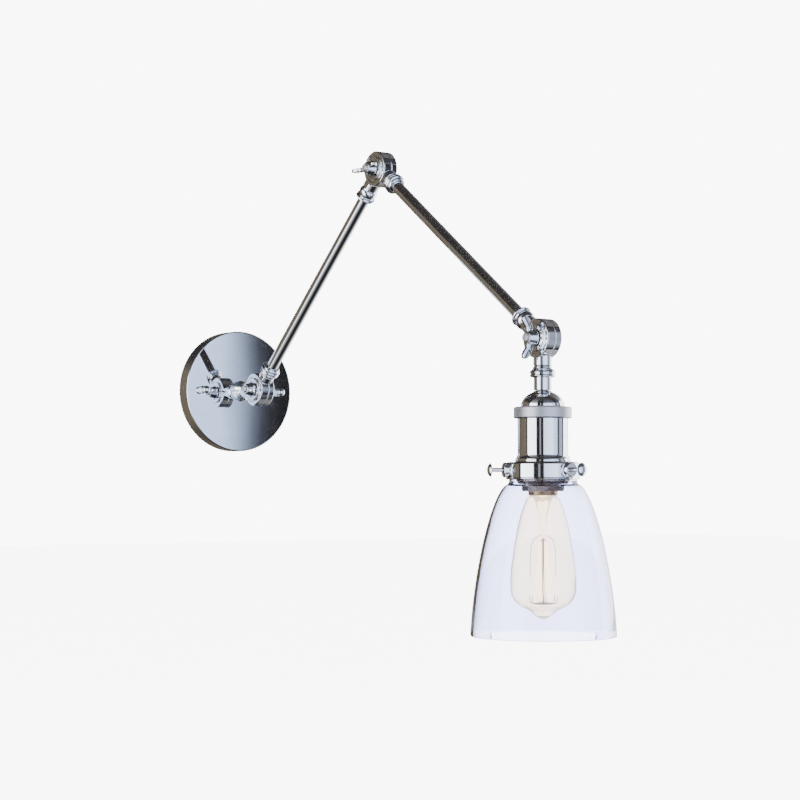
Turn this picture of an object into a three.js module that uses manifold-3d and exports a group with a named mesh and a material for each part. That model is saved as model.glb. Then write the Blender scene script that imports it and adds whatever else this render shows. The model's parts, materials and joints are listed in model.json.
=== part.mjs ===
import * as THREE from 'three';
import { mergeVertices } from 'three/addons/utils/BufferGeometryUtils.js';
import Module from 'manifold-3d';

// Swing arm wall sconce with a clear bell shade. Millimetres, +Z up, the wall is the plane y = 0
// and the lamp stands out from it towards -Y. The origin is the middle of the bracket's back face.
// Every hinge axis is parallel to X.

const wasm = await Module();
wasm.setup();

// ---- driving dimensions ----
const armLength = 300;          // hinge to hinge, both arms
const lowerArmRise = 42.4;      // degrees above level, rising away from the wall
const outerArmDrop = 36.5;      // degrees below level, falling away from the wall
const tubeRadius = 5.75;
const tubeWall = 1;
const gap = 0.3;                // between pieces that touch

const plateRadius = 64;
const plateDepth = 17.2;
const plateSheet = 1.4;
const studSpacing = 92;
const stemLength = 57.5;        // wall to the first hinge axis

const knuckleRadius = 17;
const knuckleFace = 7.9;        // from the arms' middle plane to each outer face
const seamAt = 1;
const seamGap = 0.4;
const neckRadius = 7.85;
const neckStart = 11;
const neckTop = 23;             // a neck's end, where the ferrule begins
const boltRadius = 3;
const washerRadius = 9;
const washerRecess = 0.8;
const wireHoleRadius = 3;
const wireHoleStart = 9;

const studRadius = 2;
const slotLength = 14;
const slotSpacing = 56;
const earthX = 13;
const earthZ = -6;

const collarTop = -27.5;        // heights below the head's hinge axis
const collarBottom = -33.5;
const domeTop = -44.6;
const capTop = -58.4;
const barrelTop = -68.2;
const barrelBottom = -97;
const galleryTop = -105.6;
const galleryBottom = -120.4;
const rimHeight = -252.3;
const bulbTip = -238.5;

const domeRadius = 18.7;
const capRadius = 24.8;
const barrelRadius = 21.5;
const flareRadius = 23.6;
const galleryRadius = 31.1;
const gallerySheet = 1.3;
const thumbScrewHeight = -112.4;
const thumbScrewAngles = [155, 275, 35];   // degrees about the head's axis, from +X
const fitterRadius = 28.8;      // the shade's neck
const rimRadius = 62;
const glassWall = 2.4;
const bulbRadius = 28;

const large = 32;               // sides of a large turned piece
const medium = 20;
const small = 12;

const degrees = THREE.MathUtils.degToRad;

// ---- finishes ----
const finish = (color, roughness, metalness, extra = {}) =>
  new THREE.MeshStandardMaterial({ color, roughness, metalness, ...extra });
const chrome = () => finish(0xc9ced4, 0.08, 1);
const satin = () => finish(0xb6bcc4, 0.35, 1);
const zinc = () => finish(0xa9adb0, 0.45, 1);
const brass = () => finish(0xb08d4c, 0.35, 1);
const glass = () => finish(0xe6e8f5, 0.03, 0, { transparent: true, opacity: 0.25 });
const porcelain = () => finish(0xe9e6df, 0.4, 0);
const fibre = () => finish(0x3a2d26, 0.8, 0);
const insulation = (color) => finish(color, 0.6, 0);

// ---- closed solids ----
function solidOf(geometry) {
  const bare = geometry.clone();
  for (const name of Object.keys(bare.attributes)) if (name !== 'position') bare.deleteAttribute(name);
  const merged = mergeVertices(bare, 1e-4);
  const index = merged.index.array;
  const triangles = [];
  for (let i = 0; i < index.length; i += 3) {
    const [a, b, c] = [index[i], index[i + 1], index[i + 2]];
    if (a !== b && b !== c && c !== a) triangles.push(a, b, c);
  }
  return new wasm.Manifold(new wasm.Mesh({
    numProp: 3,
    vertProperties: new Float32Array(merged.attributes.position.array),
    triVerts: new Uint32Array(triangles),
  }));
}

function geometryOf(solid) {
  const mesh = solid.getMesh();
  const geometry = new THREE.BufferGeometry();
  geometry.setAttribute('position', new THREE.BufferAttribute(new Float32Array(mesh.vertProperties), 3));
  geometry.setIndex(new THREE.BufferAttribute(new Uint32Array(mesh.triVerts), 1));
  geometry.computeVertexNormals();
  return geometry;
}

const join = (...solids) => solids.reduce((whole, next) => whole.add(next));
const cut = (solid, ...tools) => tools.reduce((rest, tool) => rest.subtract(tool), solid);

// A profile of [radius, height] points, turned about Z. It runs up the outside of the piece,
// and a profile that leaves the axis open is closed on itself.
function turned(profile, sides = medium) {
  const points = profile.map(([r, h]) => new THREE.Vector2(r, h));
  if (profile[0][0] > 0) points.push(points[0].clone());
  return solidOf(new THREE.LatheGeometry(points, sides).rotateX(Math.PI / 2));
}

const rod = (radius, from, to, sides = small) =>
  turned([[0, from], [radius, from], [radius, to], [0, to]], sides);
const pipe = (inner, outer, from, to, sides = small) =>
  turned([[inner, from], [outer, from], [outer, to], [inner, to]], sides);
const block = (x, y, z, at = [0, 0, 0]) => solidOf(new THREE.BoxGeometry(x, y, z).translate(...at));
const alongX = (solid) => solid.rotate([0, 90, 0]);      // turns Z to X
const alongY = (solid) => solid.rotate([90, 0, 0]);      // turns Z to -Y

// Points of an arc in a profile, from one angle to another in degrees.
function arc(r, h, radiusR, radiusH, from, to, steps) {
  return Array.from({ length: steps + 1 }, (_, i) => {
    const angle = degrees(from + ((to - from) * i) / steps);
    return [r + radiusR * Math.cos(angle), h + radiusH * Math.sin(angle)];
  });
}

function extruded(outline, thickness) {
  const shape = new THREE.Shape(outline.map(([x, y]) => new THREE.Vector2(x, y)));
  const options = { depth: thickness, bevelEnabled: false };
  return solidOf(new THREE.ExtrudeGeometry(shape, options).translate(0, 0, -thickness / 2));
}

function tubeAlong(points, radius, steps, sides = 8) {
  const curve = new THREE.CatmullRomCurve3(points.map((p) => new THREE.Vector3(...p)));
  const section = new THREE.Shape();
  for (let i = 0; i < sides; i += 1) {
    const angle = (2 * Math.PI * i) / sides;
    const [x, y] = [radius * Math.cos(angle), radius * Math.sin(angle)];
    if (i === 0) section.moveTo(x, y);
    else section.lineTo(x, y);
  }
  return solidOf(new THREE.ExtrudeGeometry(section, { steps, extrudePath: curve, bevelEnabled: false }));
}

function place(group, name, solid, material) {
  const mesh = new THREE.Mesh(geometryOf(solid), material);
  mesh.name = name;
  group.add(mesh);
  return mesh;
}

// ---- knuckles ----
// Each knuckle is two half drums on one bolt, with a fibre washer sunk between them and a wing nut
// on the near (-X) side. Each half has a neck along +Z; the necks share the arms' middle plane,
// so a neck is cut back where the other half turns past it.
const faceEdge = 0.8;           // chamfer of a drum's face, and depth of the groove round it
const ringProud = 1.4;          // the raised ring that the wing nut bears on
const dishProud = 0.7;          // the dish inside that ring
const turnRoom = 0.6;           // past the drum, for the other half's neck
const farOut = 30;              // beyond any knuckle

function halfDrum(side, neckEnd) {
  const seam = seamAt + (side * seamGap) / 2;
  const face = side * knuckleFace;
  const out = (r, proud) => [r, face + side * proud];
  const recess = seam + (side < 0 ? -washerRecess : 0);
  const rings = [
    [boltRadius + gap, recess], [washerRadius + gap, recess], [washerRadius + gap, seam],
    [knuckleRadius, seam], out(knuckleRadius, -faceEdge), out(knuckleRadius - faceEdge, 0), out(13.6, 0),
    out(13.2, -faceEdge), out(11.9, -faceEdge), out(11.5, ringProud), out(8.6, ringProud),
    out(8.2, dishProud), out(boltRadius + gap, dishProud),
  ];
  const drum = alongX(turned(side > 0 ? rings : rings.toReversed()));
  const otherHalf = side > 0 ? [-farOut, seam] : [seam, farOut];
  const sweep = alongX(rod(knuckleRadius + turnRoom, ...otherHalf, medium));
  const bore = alongX(rod(washerRadius + gap, -farOut, farOut));
  const neck = rod(neckRadius, neckStart, neckEnd, medium);
  return join(cut(neck, sweep, bore), drum);
}

const wireHole = (to) => rod(wireHoleRadius, wireHoleStart, to);

const boltHeadRadius = 6.8;
const boltTail = -knuckleFace - 12.4;
const boltHeadAt = knuckleFace + 1;

const clampBolt = () => alongX(turned([
  [0, boltTail], [boltRadius - 0.4, boltTail], [boltRadius, boltTail + 0.4],
  [boltRadius, boltHeadAt], [boltHeadRadius, boltHeadAt], [boltHeadRadius, boltHeadAt + 1],
  ...arc(0, boltHeadAt + 1, boltHeadRadius, 2.6, 15, 90, 3),
], small));

function frictionWasher() {
  const from = seamAt - seamGap / 2 - washerRecess + gap;
  return alongX(pipe(boltRadius + gap, washerRadius, from, seamAt + seamGap / 2 - gap));
}

// A wing nut: a tapered boss, with two wings that rise outwards beside it along +Z and -Z.
const nutSeat = -knuckleFace - ringProud - gap;
const bossHeight = 8.2;
const wingThickness = 2.8;
const wingOutline = [           // out from the seat, and away from the bolt
  [1.6, 4.5], [2.2, 8.6], [3.6, 12.6], [6, 16.2], [8.6, 18.1], [11.2, 18.3], [12.6, 16.8], [12.6, 14.4],
  [11, 11.4], [8.8, 8.4], [7.6, 4.5],
];

function wingNut() {
  const top = nutSeat - bossHeight;
  const boss = alongX(turned([
    [0, top], [5, top], [5.6, top + 0.8], [7.2, nutSeat - 1], [7.2, nutSeat], [0, nutSeat],
  ], medium));
  const wing = wingOutline.map(([proud, r]) => [nutSeat - proud, r]);
  const upper = extruded(wing, wingThickness).rotate([90, 0, 0]);
  const bore = alongX(rod(boltRadius + gap, -2 * farOut, 0));
  return cut(join(boss, upper, upper.rotate([180, 0, 0])), bore);
}

function addClamp(group, prefix, turn) {
  place(group, `${prefix}_clamp_bolt`, clampBolt(), zinc());
  place(group, `${prefix}_friction_washer`, frictionWasher(), fibre());
  place(group, `${prefix}_wing_nut`, wingNut(), chrome()).rotation.x = degrees(turn);
}

// ---- ferrules at the ends of the tubes ----
const ferruleHole = tubeRadius + gap;
const ringFerrule = () => turned([
  [ferruleHole, 0], [7, 0], [7.4, 1.6], [9.4, 2.2], [9.8, 3.2], [9.2, 4.2], [8.6, 4.6], [9.8, 5.4],
  [10.1, 6.6], [9.4, 7.8], [8.2, 8.2], [8.4, 9.2], [7.6, 10.4], [ferruleHole, 10.4],
]);
const bulbFerrule = () => turned([
  [ferruleHole, 0], [6.8, 0], ...arc(5.6, 5.4, 3.2, 4.6, -60, 50, 4), [7.6, 10], [9.4, 10.8],
  [9.6, 12], [8.6, 12.8], [ferruleHole, 12.8],
]);

// ---- wall plate and what is behind it ----
const lamp = new THREE.Group();

function bracket() {
  const sheet = 2;
  const bar = block(118, sheet, 20, [0, -sheet / 2, 0]);
  const hole = (x, z) => alongY(rod(studRadius + gap, -1, 2 * sheet)).translate([x, 0, z]);
  const slots = [-slotSpacing / 2, slotSpacing / 2].map((x) => block(slotLength, 4 * sheet, 5, [x, 0, 0]));
  return cut(bar, hole(-studSpacing / 2, 0), hole(studSpacing / 2, 0), hole(earthX, earthZ), ...slots);
}

function wallPlate() {
  const r = plateRadius;
  const front = plateDepth;
  const corner = 1.6;
  const nippleHole = 5.4;
  const shell = turned([
    [r - plateSheet, 0], [r, 0], ...arc(r - corner, front - corner, corner, corner, 0, 90, 2),
    [nippleHole, front], [nippleHole, front - plateSheet], [r - corner, front - plateSheet],
    [r - plateSheet, front - corner - 0.4],
  ], large);
  const hole = (x) => rod(studRadius + gap, 0, farOut).translate([x, 0, 0]);
  return alongY(cut(shell, hole(-studSpacing / 2), hole(studSpacing / 2)));
}

const screwStart = 0.4;         // just clear of the wall
const stud = () => alongY(rod(studRadius, screwStart, plateDepth + 4.5));
const ballRadius = 4.2;
const capNut = () => alongY(turned([
  [studRadius + gap, gap], [4.6, gap], [4.6, 1.3], [2.9, 1.9], [2.9, 3], [3.6, 3.4], [3.6, 4.2], [2.8, 4.6],
  ...arc(0, 8.6, ballRadius, ballRadius, -50, 90, 4), [0, 5.2], [studRadius + gap, 5.2],
], small).translate([0, 0, plateDepth]));
const wireNut = () => turned([[3.2, 9], [3.2, 0], [4.8, 0], [3, 13], [0, 13], [0, 9]], small);
const earthScrew = () => alongY(turned([
  [0, screwStart], [2, screwStart], [2, 2.3], [3.6, 2.3], [3.6, 3.4], [2.6, 4.2], [0, 4.2],
], small));

place(lamp, 'wall_bracket', bracket(), zinc());
place(lamp, 'wall_plate', wallPlate(), chrome());
for (const [side, x] of [['left', -studSpacing / 2], ['right', studSpacing / 2]]) {
  place(lamp, `bracket_stud_${side}`, stud().translate([x, 0, 0]), zinc());
  place(lamp, `cap_nut_${side}`, capNut().translate([x, 0, 0]), chrome());
}
place(lamp, 'earth_screw', earthScrew().translate([earthX, 0, earthZ]), brass());

const nippleInner = 3.4;
const nippleOuter = 4.9;
const nippleClear = nippleOuter + 2 * gap;
const plateInside = plateDepth - plateSheet - gap;
const nutTop = plateInside - 1.2 - gap;
place(lamp, 'stem_nipple', alongY(pipe(nippleInner, nippleOuter, 8.5, 30)), zinc());
place(lamp, 'nipple_washer', alongY(pipe(nippleClear, 10, nutTop + gap, plateInside)), zinc());
const hexNut = cut(rod(8, nutTop - 3.2, nutTop, 6), rod(nippleClear, 0, farOut));
place(lamp, 'nipple_nut', alongY(hexNut), zinc());

const leadColors = { live: 0x5a3a22, neutral: 0x2f4f86 };
const wireNutAt = { live: -24, neutral: 24 };
for (const [name, x] of Object.entries(wireNutAt)) {
  const inside = x * 0.075;     // both leads share the nipple's bore
  const route = [
    [inside, -26, 0], [inside, -14, 0], [inside, -7.4, 0], [x * 0.3, -4.4, 2.6], [x * 0.8, -6.4, 9],
    [x, -8, 16], [x, -8, 22],
  ];
  place(lamp, `wall_lead_${name}`, tubeAlong(route, 1.1, 16, 6), insulation(leadColors[name]));
  place(lamp, `wire_nut_${name}`, wireNut().translate([x, -8, 17.5]), insulation(0xd9a13a));
}

// ---- fixed half of the wall knuckle, with its stem ----
const wallHinge = new THREE.Group();
wallHinge.position.set(0, -stemLength, 0);
lamp.add(wallHinge);

function stemHalf() {
  const start = neckTop - 3;
  const end = stemLength - plateDepth - gap;
  const foot = turned([
    [0, start], [neckRadius, start], [neckRadius, end - 12], [6.6, end - 9.4], [6.6, end - 7],
    [8.4, end - 6], [8.4, end - 4.6], [7.4, end - 4], [11, end - 2.2], [11, end], [0, end],
  ]);
  const bore = rod(nippleOuter + gap, 26, stemLength);
  return cut(join(halfDrum(-1, neckTop + 1), foot), bore, wireHole(stemLength));
}
const stem = place(wallHinge, 'wall_knuckle', stemHalf(), chrome());
stem.rotation.x = degrees(-90);
addClamp(wallHinge, 'wall', -84);

// ---- arms: a tube with a half drum and a ferrule at each end, and the lamp leads inside ----
const tubeStart = neckTop + 1;
const leadStart = 20;
const coreRadius = 1.3;
const coreOffset = 1.1;

function addArm(group, prefix, ends) {
  const atFarEnd = (solid) => solid.rotate([180, 0, 0]).translate([0, 0, armLength]);
  ends.forEach(({ name, side, ferrule }, i) => {
    const knuckle = cut(halfDrum(side, neckTop), wireHole(tubeStart));
    const ring = ferrule().translate([0, 0, neckTop + gap]);
    place(group, `${prefix}_knuckle_${name}`, i ? atFarEnd(knuckle) : knuckle, chrome());
    place(group, `${prefix}_ferrule_${name}`, i ? atFarEnd(ring) : ring, chrome());
  });
  const tube = pipe(tubeRadius - tubeWall, tubeRadius, tubeStart, armLength - tubeStart, 16);
  place(group, `${prefix}_tube`, tube, chrome());
  const core = (x) => rod(coreRadius, leadStart, armLength - leadStart, 6).translate([x, 0, 0]);
  place(group, `${prefix}_twin_lead`, join(core(-coreOffset), core(coreOffset)), insulation(0xd8d4cc));
}

const lowerArm = new THREE.Group();
lowerArm.rotation.x = degrees(90 - lowerArmRise);
wallHinge.add(lowerArm);
addArm(lowerArm, 'lower_arm', [
  { name: 'wall', side: 1, ferrule: ringFerrule }, { name: 'elbow', side: -1, ferrule: bulbFerrule },
]);

const elbow = new THREE.Group();
elbow.position.set(0, 0, armLength);
lowerArm.add(elbow);
addClamp(elbow, 'elbow', 38);

const outerArm = new THREE.Group();
outerArm.rotation.x = degrees(lowerArmRise + outerArmDrop);
elbow.add(outerArm);
addArm(outerArm, 'outer_arm', [
  { name: 'elbow', side: 1, ferrule: ringFerrule }, { name: 'head', side: 1, ferrule: bulbFerrule },
]);

// ---- lamp head, hanging plumb from the last hinge ----
const head = new THREE.Group();
head.position.set(0, 0, armLength);
head.rotation.x = degrees(-90 - outerArmDrop);
outerArm.add(head);
addClamp(head, 'head', 0);

const headNeck = -collarTop - 4;
const headHalf = cut(halfDrum(-1, headNeck), wireHole(headNeck + 1)).rotate([180, 0, 0]);
place(head, 'head_knuckle', headHalf, chrome());

const leadBore = 4;             // through the collar and the dome
place(head, 'neck_collar', turned([
  [leadBore, domeTop + gap], [7.65, domeTop + gap], [7.65, collarBottom], [10.2, collarBottom + 0.3],
  [11.2, collarBottom + 1.4], [10.4, collarBottom + 2.6], [10, collarBottom + 3], [11.2, collarBottom + 4],
  [10.6, collarTop - 0.4], [8.4, collarTop + 1.2], [neckRadius, -headNeck - gap],
  [leadBore, -headNeck - gap],
]), chrome());

const domeSheet = 1.4;
const domeHeight = domeTop - capTop;
place(head, 'socket_dome', turned([
  [domeRadius - domeSheet, capTop], [domeRadius, capTop],
  ...arc(0, capTop, domeRadius, domeHeight, 12, 62, 4),
  [7.4, domeTop - gap], [leadBore, domeTop - gap], [leadBore, domeTop - domeSheet - gap],
  ...arc(0, capTop, domeRadius - domeSheet, domeHeight - domeSheet - gap, 66, 8, 4),
]), chrome());
place(head, 'socket_cap_ring', turned([
  [16, barrelTop], [capRadius - 0.6, barrelTop], [capRadius, barrelTop + 0.6], [capRadius, capTop - 1.2],
  [capRadius - 0.9, capTop - gap], [16, capTop - gap],
], large), satin());

const barrelSheet = 1.2;
place(head, 'socket_barrel', turned([
  [barrelRadius - barrelSheet, barrelBottom], [flareRadius - barrelSheet, galleryTop + gap],
  [flareRadius, galleryTop + gap], [flareRadius, galleryTop + 1.5],
  ...arc(flareRadius + 1.4, barrelBottom - 0.6, flareRadius + 1.4 - barrelRadius, 6, 250, 180, 3),
  [barrelRadius, barrelTop - gap], [barrelRadius - barrelSheet, barrelTop - gap],
], large), chrome());

// The gallery is a shallow cup that holds the shade's neck; three bosses carry the thumb screws.
const screwRadius = 1.8;
const galleryHole = 19.5;
const bossRadius = 6.4;

function gallery() {
  const inner = galleryRadius - gallerySheet;
  const cup = turned([
    [inner, galleryBottom], [galleryRadius, galleryBottom], [galleryRadius, galleryTop - 1],
    [galleryRadius - 0.8, galleryTop], [galleryHole, galleryTop], [galleryHole, galleryTop - gallerySheet],
    [inner, galleryTop - gallerySheet],
  ], large);
  const across = (solid, angle) => alongX(solid).translate([0, 0, thumbScrewHeight]).rotate([0, 0, angle]);
  const boss = rod(bossRadius, galleryRadius - 1, galleryRadius + 3.8);
  const hole = rod(screwRadius + gap, galleryRadius - 5, galleryRadius + 6);
  return thumbScrewAngles.reduce(
    (solid, angle) => cut(join(solid, across(boss, angle)), across(hole, angle)), cup);
}
place(head, 'shade_gallery', gallery(), chrome());

const thumbScrew = () => turned([
  [0, fitterRadius + gap], [screwRadius, fitterRadius + gap], [screwRadius, 44.6], [2.6, 44.9],
  [5.9, 45.6], [5.4, 46.8], [3.4, 48.2], [0, 48.7],
], small);
thumbScrewAngles.forEach((angle, i) => {
  const screw = alongX(thumbScrew()).translate([0, 0, thumbScrewHeight]).rotate([0, 0, angle]);
  place(head, `thumb_screw_${i + 1}`, screw, chrome());
});

// ---- lampholder inside the barrel ----
const shellInner = 13.4;
const shellTop = -78;
const bodyRadius = barrelRadius - barrelSheet - gap;
const bodyInner = shellInner + 1.6;
place(head, 'lampholder_body', turned([
  [bodyInner, galleryTop + 2], [bodyRadius, galleryTop + 12], [bodyRadius, barrelTop - 1],
  [6, barrelTop - 1], [6, shellTop + 4], [bodyInner, shellTop + 4],
]), porcelain());
place(head, 'screw_shell', turned([
  [shellInner, -106], [shellInner + 1, -106], [shellInner + 1, shellTop], [4.6, shellTop],
  [4.6, shellTop - 1], [shellInner, shellTop - 1],
]), brass());
place(head, 'centre_contact', turned([
  [0, -80.5], [3.4, -80.5], [3.4, -79.6], [1.6, -78.8], [1.6, -75], [0, -75],
], small), brass());
place(head, 'barrel_thread_ring', turned([
  [bodyInner, -131], [17.8, -131], [18.1, -127.6], [22.4, -127.2], [22.8, -126], [22.8, -123.4],
  [22.2, -122.6], [22.8, -121.8], [22.8, -120], [19.2, -119.4], [19.2, galleryTop + 1],
  [bodyInner, galleryTop + 1],
], medium), finish(0x8d8a88, 0.3, 1));

// ---- glass shade ----
// The bell's outline swells quickly below the fitter's foot and ends almost upright at the rim.
const bellTop = -124.6;
const bellFoot = 30;
const bellSteps = 8;
const shadeTop = galleryTop - gallerySheet - 1;
const fitterInner = fitterRadius - glassWall;

const bellOutline = (inset) => Array.from({ length: bellSteps + 1 }, (_, i) => {
  const drop = (i / bellSteps) ** 1.6;
  const swell = (1 - (1 - drop) ** 1.42) ** 0.6;
  return [bellFoot + (rimRadius - bellFoot) * swell - inset, bellTop + (rimHeight - bellTop) * drop];
});
place(head, 'glass_shade', turned([
  ...bellOutline(0).toReversed(), [fitterRadius, bellTop + 2.6], [fitterRadius, -110],
  [fitterRadius + 0.5, -109.2], [fitterRadius + 0.3, shadeTop], [fitterInner, shadeTop],
  [fitterInner, bellTop - 1.5], ...bellOutline(glassWall).slice(1),
], large), glass());

// ---- bulb ----
const seal = -134.5;            // where the glass leaves the screw base
const bulbNeckTop = -130;
const bulbNeck = 10.9;
const bulbWall = 0.9;
const bulbMiddle = -207;
const stemTip = -170;

place(head, 'bulb_screw_base', turned([
  [11.6, seal], [12.4, seal], [12.6, -128], [12.9, -109], [12.9, -86], [9, -83.6], [9, -84.6], [11.9, -87],
  [11.9, -109],
]), brass());
place(head, 'bulb_tip_contact', turned([
  [0, -84.8], [8.4, -84.8], [8.4, -83.4], [4.4, -81.8], [2.6, -80.9], [0, -80.9],
], small), fibre());

const bulbOuter = [
  [bulbNeck, bulbNeckTop], [bulbNeck, seal - gap], [13.4, seal - 1.2], [17.4, -146], [21, -158],
  [25.2, -184], ...arc(0, bulbMiddle, bulbRadius, 22, 24, -48, 4), [13.4, -230.4], [10.6, -232.4],
  [5.6, -236.6], [0, bulbTip],
];
// the inner surface: it is also lifted off the outer one where the glass turns in under the bulb
const innerOf = ([r, h]) => [Math.max(r - bulbWall, 2.6), h > -200 ? h : h + bulbWall * 0.8];
place(head, 'bulb_glass', turned([
  ...bulbOuter.toReversed(), [bulbNeck - bulbWall, bulbNeckTop],
  ...bulbOuter.slice(1, -1).map(innerOf), [0, bulbTip + 2],
]), glass());
place(head, 'bulb_stem', turned([
  [0, stemTip], [2.4, stemTip], [2.8, -168], [2.2, -165], [3.4, -152], [6, -142], [9.6, -134],
  [9.6, -132.6], [4.2, -132.6], [0, -140],
], small), glass());

const supportRing = -226;
const wireSize = 1;
place(head, 'bulb_support_frame', join(
  rod(0.9, supportRing, stemTip - 0.4, 6),
  pipe(6.8, 8, supportRing, supportRing + 1.2),
  block(15, wireSize, wireSize, [0, 0, supportRing + 0.6]),
), finish(0x6b4a2e, 0.5, 0.6));

function filament() {
  const bends = 10;
  const lowBend = { r: 9.6, h: supportRing + 2.4 };
  const highBend = { r: 5.4, h: stemTip - 2 };
  const points = Array.from({ length: bends }, (_, i) => {
    const angle = (2 * Math.PI * i) / bends;
    const { r, h } = i % 2 ? highBend : lowBend;
    return [r * Math.cos(angle), r * Math.sin(angle), h];
  });
  return tubeAlong(points, 0.5, 54, 4);
}
place(head, 'bulb_filament', filament(), finish(0xffb347, 0.5, 0, { emissive: 0xff9a2a }));

for (const [name, x] of Object.entries({ live: -2.4, neutral: 2.4 })) {
  const route = [[x / 2, 0, -30], [x / 2, 0, -48], [x, 0, -64], [x, 0, -74]];
  place(head, `socket_lead_${name}`, tubeAlong(route, 1, 10, 6), insulation(leadColors[name]));
}

export default lamp;
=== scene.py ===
import json
import math

import bmesh
import bpy
from mathutils import Matrix, Vector


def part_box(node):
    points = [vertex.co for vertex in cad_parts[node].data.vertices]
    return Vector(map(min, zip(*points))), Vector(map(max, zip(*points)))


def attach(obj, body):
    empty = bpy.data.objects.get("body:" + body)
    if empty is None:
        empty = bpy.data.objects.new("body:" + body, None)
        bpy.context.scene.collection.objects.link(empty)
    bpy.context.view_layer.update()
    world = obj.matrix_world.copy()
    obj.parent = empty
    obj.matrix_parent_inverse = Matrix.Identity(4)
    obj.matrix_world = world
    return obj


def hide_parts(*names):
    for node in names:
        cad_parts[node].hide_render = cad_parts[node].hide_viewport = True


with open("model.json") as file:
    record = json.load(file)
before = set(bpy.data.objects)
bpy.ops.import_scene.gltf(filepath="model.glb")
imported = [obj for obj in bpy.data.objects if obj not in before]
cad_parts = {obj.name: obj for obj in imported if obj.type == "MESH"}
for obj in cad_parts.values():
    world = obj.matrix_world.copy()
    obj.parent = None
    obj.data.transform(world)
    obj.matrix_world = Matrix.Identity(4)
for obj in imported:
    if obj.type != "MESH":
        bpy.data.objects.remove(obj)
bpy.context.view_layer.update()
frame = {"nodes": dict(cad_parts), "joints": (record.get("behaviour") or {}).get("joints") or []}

# Profiles are lists of (radius, height) in millimetres; every place below carries the scale to metres.
toMetres = Matrix.Scale(0.001, 4)
zToX = Matrix.Rotation(math.radians(90), 4, "Y")
upsideDown = Matrix.Rotation(math.radians(180), 4, "X")


def jointPoint(name):
    joint = next(j for j in frame["joints"] if j["name"] == name)
    return Vector(joint["pos_m"])


def placed(point, along):
    # local +Z runs along the given direction, local +X stays parallel to the hinge axes
    z = Vector(along).normalized()
    x = Vector((1, 0, 0))
    turn = Matrix((x, z.cross(x), z)).transposed().to_4x4()
    return Matrix.Translation(point) @ turn @ toMetres


wallPoint, elbowPoint, headPoint = [jointPoint(n) for n in ("wall_hinge", "elbow_hinge", "head_hinge")]
wallPlace = placed((0, 0, 0), (0, -1, 0))
stemPlace = placed(wallPoint, (0, 1, 0))
lowerPlace = placed(wallPoint, elbowPoint - wallPoint)
outerPlace = placed(elbowPoint, headPoint - elbowPoint)
headPlace = placed(headPoint, (0, 0, 1))
armLength = (elbowPoint - wallPoint).length / 0.001

onAxis = 1e-6  # a radius below this is a point on the axis
sharpAbove = 42  # degrees between two faces that keep a hard edge
rounding = {"share": 0.3, "flattest": 14, "shortest": 0.01, "steps": 4, "longRun": 5, "hold": 0.4}


def arc(centre, radii, start, end, steps):
    turns = [math.radians(start + (end - start) * i / steps) for i in range(steps + 1)]
    return [(centre[0] + radii[0] * math.cos(a), centre[1] + radii[1] * math.sin(a)) for a in turns]


def softened(profile, radius, closed):
    # rounds each corner with a short curve and holds the straight runs flat beside it
    points = [Vector(p) for p in profile]
    result = []
    for i, point in enumerate(points):
        if not closed and i in (0, len(points) - 1):
            result.append(point)
            continue
        before, after = points[i - 1] - point, points[(i + 1) % len(points)] - point
        bend = math.degrees(math.pi - before.angle(after))
        reach = min(radius, rounding["share"] * before.length, rounding["share"] * after.length)
        if bend < rounding["flattest"] or reach < rounding["shortest"]:
            result.append(point)
            continue
        start, end = point + before.normalized() * reach, point + after.normalized() * reach
        if before.length > rounding["longRun"] * reach:
            result.append(start + before.normalized() * rounding["hold"] * reach)
        for k in range(rounding["steps"] + 1):
            t = k / rounding["steps"]
            result.append(start * (1 - t) ** 2 + point * 2 * t * (1 - t) + end * t ** 2)
        if after.length > rounding["longRun"] * reach:
            result.append(end + after.normalized() * rounding["hold"] * reach)
    return [(max(p.x, 0), p.y) for p in result]


def bridge(bm, first, second):
    if len(first) == 1 and len(second) == 1:
        return
    count = max(len(first), len(second))
    for i in range(count):
        a, b = first[i % len(first)], first[(i + 1) % len(first)]
        c, d = second[(i + 1) % len(second)], second[i % len(second)]
        corners = list(dict.fromkeys((a, b, c, d)))
        bm.faces.new(corners)


def addRing(bm, r, h, place, sides):
    # a circle round the axis, or one point on it
    around = 1 if r < onAxis else sides
    turns = [2 * math.pi * i / sides for i in range(around)]
    return [bm.verts.new(place @ Vector((r * math.cos(a), r * math.sin(a), h))) for a in turns]


def addTurned(bm, profile, place, soft, sides=96):
    # a profile that starts off the axis is closed on itself
    closed = profile[0][0] > onAxis
    rings = [addRing(bm, r, h, place, sides) for r, h in softened(profile, soft, closed)]
    for first, second in zip(rings, rings[1:]):
        bridge(bm, first, second)
    if closed:
        bridge(bm, rings[-1], rings[0])


def addMesh(bm, mesh, place):
    before = len(bm.verts)
    bm.from_mesh(mesh)
    bm.verts.ensure_lookup_table()
    bmesh.ops.transform(bm, matrix=place, verts=bm.verts[before:])
    bpy.data.meshes.remove(mesh)


def raised(profile, by):
    return [(r, h + by) for r, h in profile]


def onCurve(knots, t):
    # a Catmull-Rom curve from the second knot to the third
    p0, p1, p2, p3 = knots
    return 0.5 * (2 * p1 + (p2 - p0) * t + (2 * p0 - 5 * p1 + 4 * p2 - p3) * t ** 2
                  + (3 * p1 - p0 - 3 * p2 + p3) * t ** 3)


def smoothLoop(points, steps=5):
    result = []
    for i in range(len(points)):
        knots = [Vector(points[(i + k) % len(points)]) for k in (-1, 0, 1, 2)]
        result += [onCurve(knots, step / steps) for step in range(steps)]
    return result


def smoothPath(points, steps):
    last = len(points) - 1
    result = []
    for i in range(last):
        knots = [Vector(points[min(max(i + k, 0), last)]) for k in (-1, 0, 1, 2)]
        result += [onCurve(knots, step / steps) for step in range(steps)]
    return [*result, Vector(points[last])]


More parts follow.
